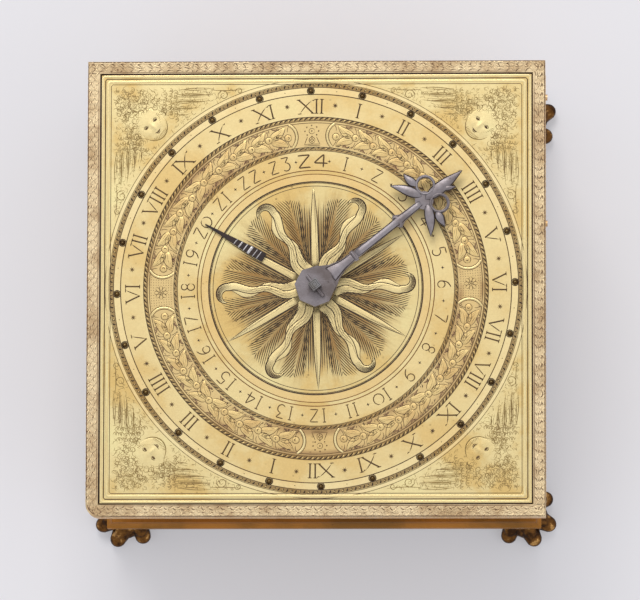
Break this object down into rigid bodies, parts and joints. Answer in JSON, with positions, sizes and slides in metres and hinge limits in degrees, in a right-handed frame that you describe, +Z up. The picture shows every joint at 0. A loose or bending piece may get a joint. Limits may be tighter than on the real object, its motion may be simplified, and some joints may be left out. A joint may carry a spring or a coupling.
{
  "type": "table clock",
  "caption": "Square horizontal table clock with engraved gilt dial, turning alarm disc, steel hour hand, touch pins, lion's paw feet and a full striking and alarm movement inside.",
  "frame": {"origin": "on the floor under the middle of the case", "axes": "+Z up, -Y to the front of the clock (the VI side of the dial), +X to its right"},
  "size_m": [0.1246, 0.1246, 0.0783],
  "materials": {
    "gilt_case": "fire-gilt, worn, engraved",
    "rim_gilt": "stamped leaf pattern, pale worn gilding",
    "dial_gilt": "engraved gilding with dark filled lines",
    "dark_brass": "dark tarnished",
    "hand_steel": "grey forged steel, slightly worn",
    "black_steel": "blackened, pale worn bands",
    "movement_brass": "brushed, faintly tarnished",
    "arbor_steel": "polished, grey",
    "spring_steel": "blued",
    "bell_metal": "turned bell bronze",
    "gut": "twisted gut, smooth"
  },
  "bodies": {
    "case": {"feet": "gilt_case", "base_moulding": "gilt_case", "wall_front": "gilt_case", "wall_back": "gilt_case", "wall_left": "gilt_case", "wall_right": "gilt_case", "top_frame": "gilt_case", "rim_front": "rim_gilt", "rim_back": "rim_gilt", "rim_left": "rim_gilt", "rim_right": "rim_gilt", "rim_pins": "dark_brass", "dial_plate": "dial_gilt", "touch_pins": "dark_brass", "dial_feet": "movement_brass", "front_plate": "movement_brass", "back_plate": "movement_brass", "pillars": "movement_brass", "taper_pins": "arbor_steel", "potences": "movement_brass", "balance_cock": "movement_brass", "cock_screw": "arbor_steel", "bell": "bell_metal", "bell_stud": "arbor_steel", "barrel_arbor": "arbor_steel", "gut_line": "gut", "hinge_pins": "arbor_steel", "ratchet_clicks": "arbor_steel"},
    "door": {"base_door": "gilt_case"},
    "latch": {"door_latch": "gilt_case"},
    "alarm_dial": {"alarm_disc": "dial_gilt", "alarm_pointer": "black_steel"},
    "hand": {"hour_hand": "hand_steel", "hand_pin": "hand_steel", "hour_arbor": "hand_steel", "hour_wheel": "movement_brass"},
    "setting": {"setting_pinion": "arbor_steel"},
    "crown": {"crown_wheel": "movement_brass"},
    "contrate": {"contrate_wheel": "movement_brass"},
    "second": {"second_arbor": "arbor_steel", "second_wheel": "movement_brass"},
    "great": {"great_wheel": "movement_brass"},
    "fusee_cone": {"fusee": "movement_brass"},
    "barrel": {"going_barrel": "movement_brass", "going_spring": "spring_steel"},
    "balance": {"verge": "arbor_steel", "balance_wheel": "movement_brass"},
    "strike_great": {"strike_barrel": "movement_brass", "strike_spring": "spring_steel", "count_wheel": "movement_brass"},
    "strike_winder": {"strike_arbor": "arbor_steel"},
    "pin_wheel_arbor": {"pin_wheel": "movement_brass"},
    "warning": {"warning_wheel": "movement_brass"},
    "fly_arbor": {"fly": "movement_brass"},
    "hammer": {"strike_hammer": "arbor_steel"},
    "detent": {"detent_lever": "arbor_steel"},
    "alarm_great": {"alarm_barrel": "movement_brass"},
    "alarm_winder": {"alarm_arbor": "arbor_steel"},
    "alarm_scape": {"alarm_scape_wheel": "movement_brass"},
    "alarm_striker": {"alarm_hammer": "arbor_steel"}
  },
  "joints": [
    {"name": "door_hinge", "type": "hinge", "parent": "case", "child": "door", "pos_m": [0, 0.044, 0.0108], "axis": [1, 0, 0], "range_deg": [0, 100]},
    {"name": "latch_turn", "type": "hinge", "parent": "door", "child": "latch", "pos_m": [0, -0.039, 0.0128], "axis": [0, 0, -1], "range_deg": [0, 90]},
    {"name": "alarm_set", "type": "hinge", "parent": "case", "child": "alarm_dial", "pos_m": [0, 0, 0.0692], "axis": [0, 0, 1], "continuous": true},
    {"name": "hand_turn", "type": "hinge", "parent": "case", "child": "hand", "pos_m": [0, 0, 0.072], "axis": [0, 0, 1], "continuous": true},
    {"name": "setting_turn", "type": "hinge", "parent": "case", "child": "setting", "pos_m": [-0.026, -0.027, 0.0631], "axis": [0, 0, 1], "continuous": true},
    {"name": "crown_turn", "type": "hinge", "parent": "case", "child": "crown", "pos_m": [-0.01024, -0.00905, 0.046], "axis": [0, 1, 0], "continuous": true},
    {"name": "contrate_turn", "type": "hinge", "parent": "case", "child": "contrate", "pos_m": [-0.01024, -0.00905, 0.043], "axis": [0, 0, 1], "continuous": true},
    {"name": "second_turn", "type": "hinge", "parent": "case", "child": "second", "pos_m": [-0.00653, -0.02286, 0.0546], "axis": [0, 0, 1], "continuous": true},
    {"name": "great_turn", "type": "hinge", "parent": "case", "child": "great", "pos_m": [-0.026, -0.027, 0.0367], "axis": [0, 0, 1], "continuous": true},
    {"name": "fusee_wind", "type": "hinge", "parent": "case", "child": "fusee_cone", "pos_m": [-0.026, -0.027, 0.045], "axis": [0, 0, 1], "continuous": true},
    {"name": "barrel_turn", "type": "hinge", "parent": "case", "child": "barrel", "pos_m": [-0.033, 0.014, 0.047], "axis": [0, 0, 1], "continuous": true},
    {"name": "balance_swing", "type": "hinge", "parent": "case", "child": "balance", "pos_m": [-0.01024, 0.01205, 0.0305], "axis": [0, 0, 1], "range_deg": [-50, 50]},
    {"name": "fly_turn", "type": "hinge", "parent": "case", "child": "fly_arbor", "pos_m": [0.02725, 0.01944, 0.05], "axis": [0, 0, 1], "continuous": true},
    {"name": "warning_turn", "type": "hinge", "parent": "case", "child": "warning", "pos_m": [0.02914, 0.00871, 0.0445], "axis": [0, 0, 1], "continuous": true},
    {"name": "pin_turn", "type": "hinge", "parent": "case", "child": "pin_wheel_arbor", "pos_m": [0.02425, -0.00473, 0.0546], "axis": [0, 0, 1], "continuous": true},
    {"name": "strike_turn", "type": "hinge", "parent": "case", "child": "strike_great", "pos_m": [0.028, -0.026, 0.044], "axis": [0, 0, 1], "continuous": true},
    {"name": "strike_wind", "type": "hinge", "parent": "case", "child": "strike_winder", "pos_m": [0.028, -0.026, 0.02], "axis": [0, 0, 1], "continuous": true},
    {"name": "hammer_lift", "type": "hinge", "parent": "case", "child": "hammer", "pos_m": [0.0384, -0.00195, 0.04], "axis": [0, 0, 1], "range_deg": [-14, 0], "stiffness_Nm_per_rad": 0.01},
    {"name": "detent_lift", "type": "hinge", "parent": "case", "child": "detent", "pos_m": [0.046, -0.006, 0.05], "axis": [0, 0, 1], "range_deg": [-10, 0], "stiffness_Nm_per_rad": 0.004},
    {"name": "alarm_scape_turn", "type": "hinge", "parent": "case", "child": "alarm_scape", "pos_m": [0.0045, 0.036, 0.0536], "axis": [0, 0, 1], "continuous": true},
    {"name": "alarm_turn", "type": "hinge", "parent": "case", "child": "alarm_great", "pos_m": [-0.01, 0.036, 0.044], "axis": [0, 0, 1], "continuous": true},
    {"name": "alarm_wind", "type": "hinge", "parent": "case", "child": "alarm_winder", "pos_m": [-0.01, 0.036, 0.02], "axis": [0, 0, 1], "continuous": true},
    {"name": "alarm_strike", "type": "hinge", "parent": "case", "child": "alarm_striker", "pos_m": [0.006, 0.0256, 0.04], "axis": [0, 0, 1], "range_deg": [0, 10], "stiffness_Nm_per_rad": 0.004}
  ],
  "couplings": [
    {"joint": "setting_turn", "follows": "hand_turn", "ratio": -12},
    {"joint": "contrate_turn", "follows": "crown_turn", "ratio": 0.14286},
    {"joint": "second_turn", "follows": "crown_turn", "ratio": -0.017857},
    {"joint": "great_turn", "follows": "crown_turn", "ratio": 0.0022321},
    {"joint": "barrel_turn", "follows": "fusee_wind", "ratio": 0.71174},
    {"joint": "warning_turn", "follows": "fly_turn", "ratio": -0.125},
    {"joint": "pin_turn", "follows": "fly_turn", "ratio": 0.015625},
    {"joint": "strike_turn", "follows": "fly_turn", "ratio": -0.0016026},
    {"joint": "alarm_turn", "follows": "alarm_scape_turn", "ratio": -0.2}
  ]
}
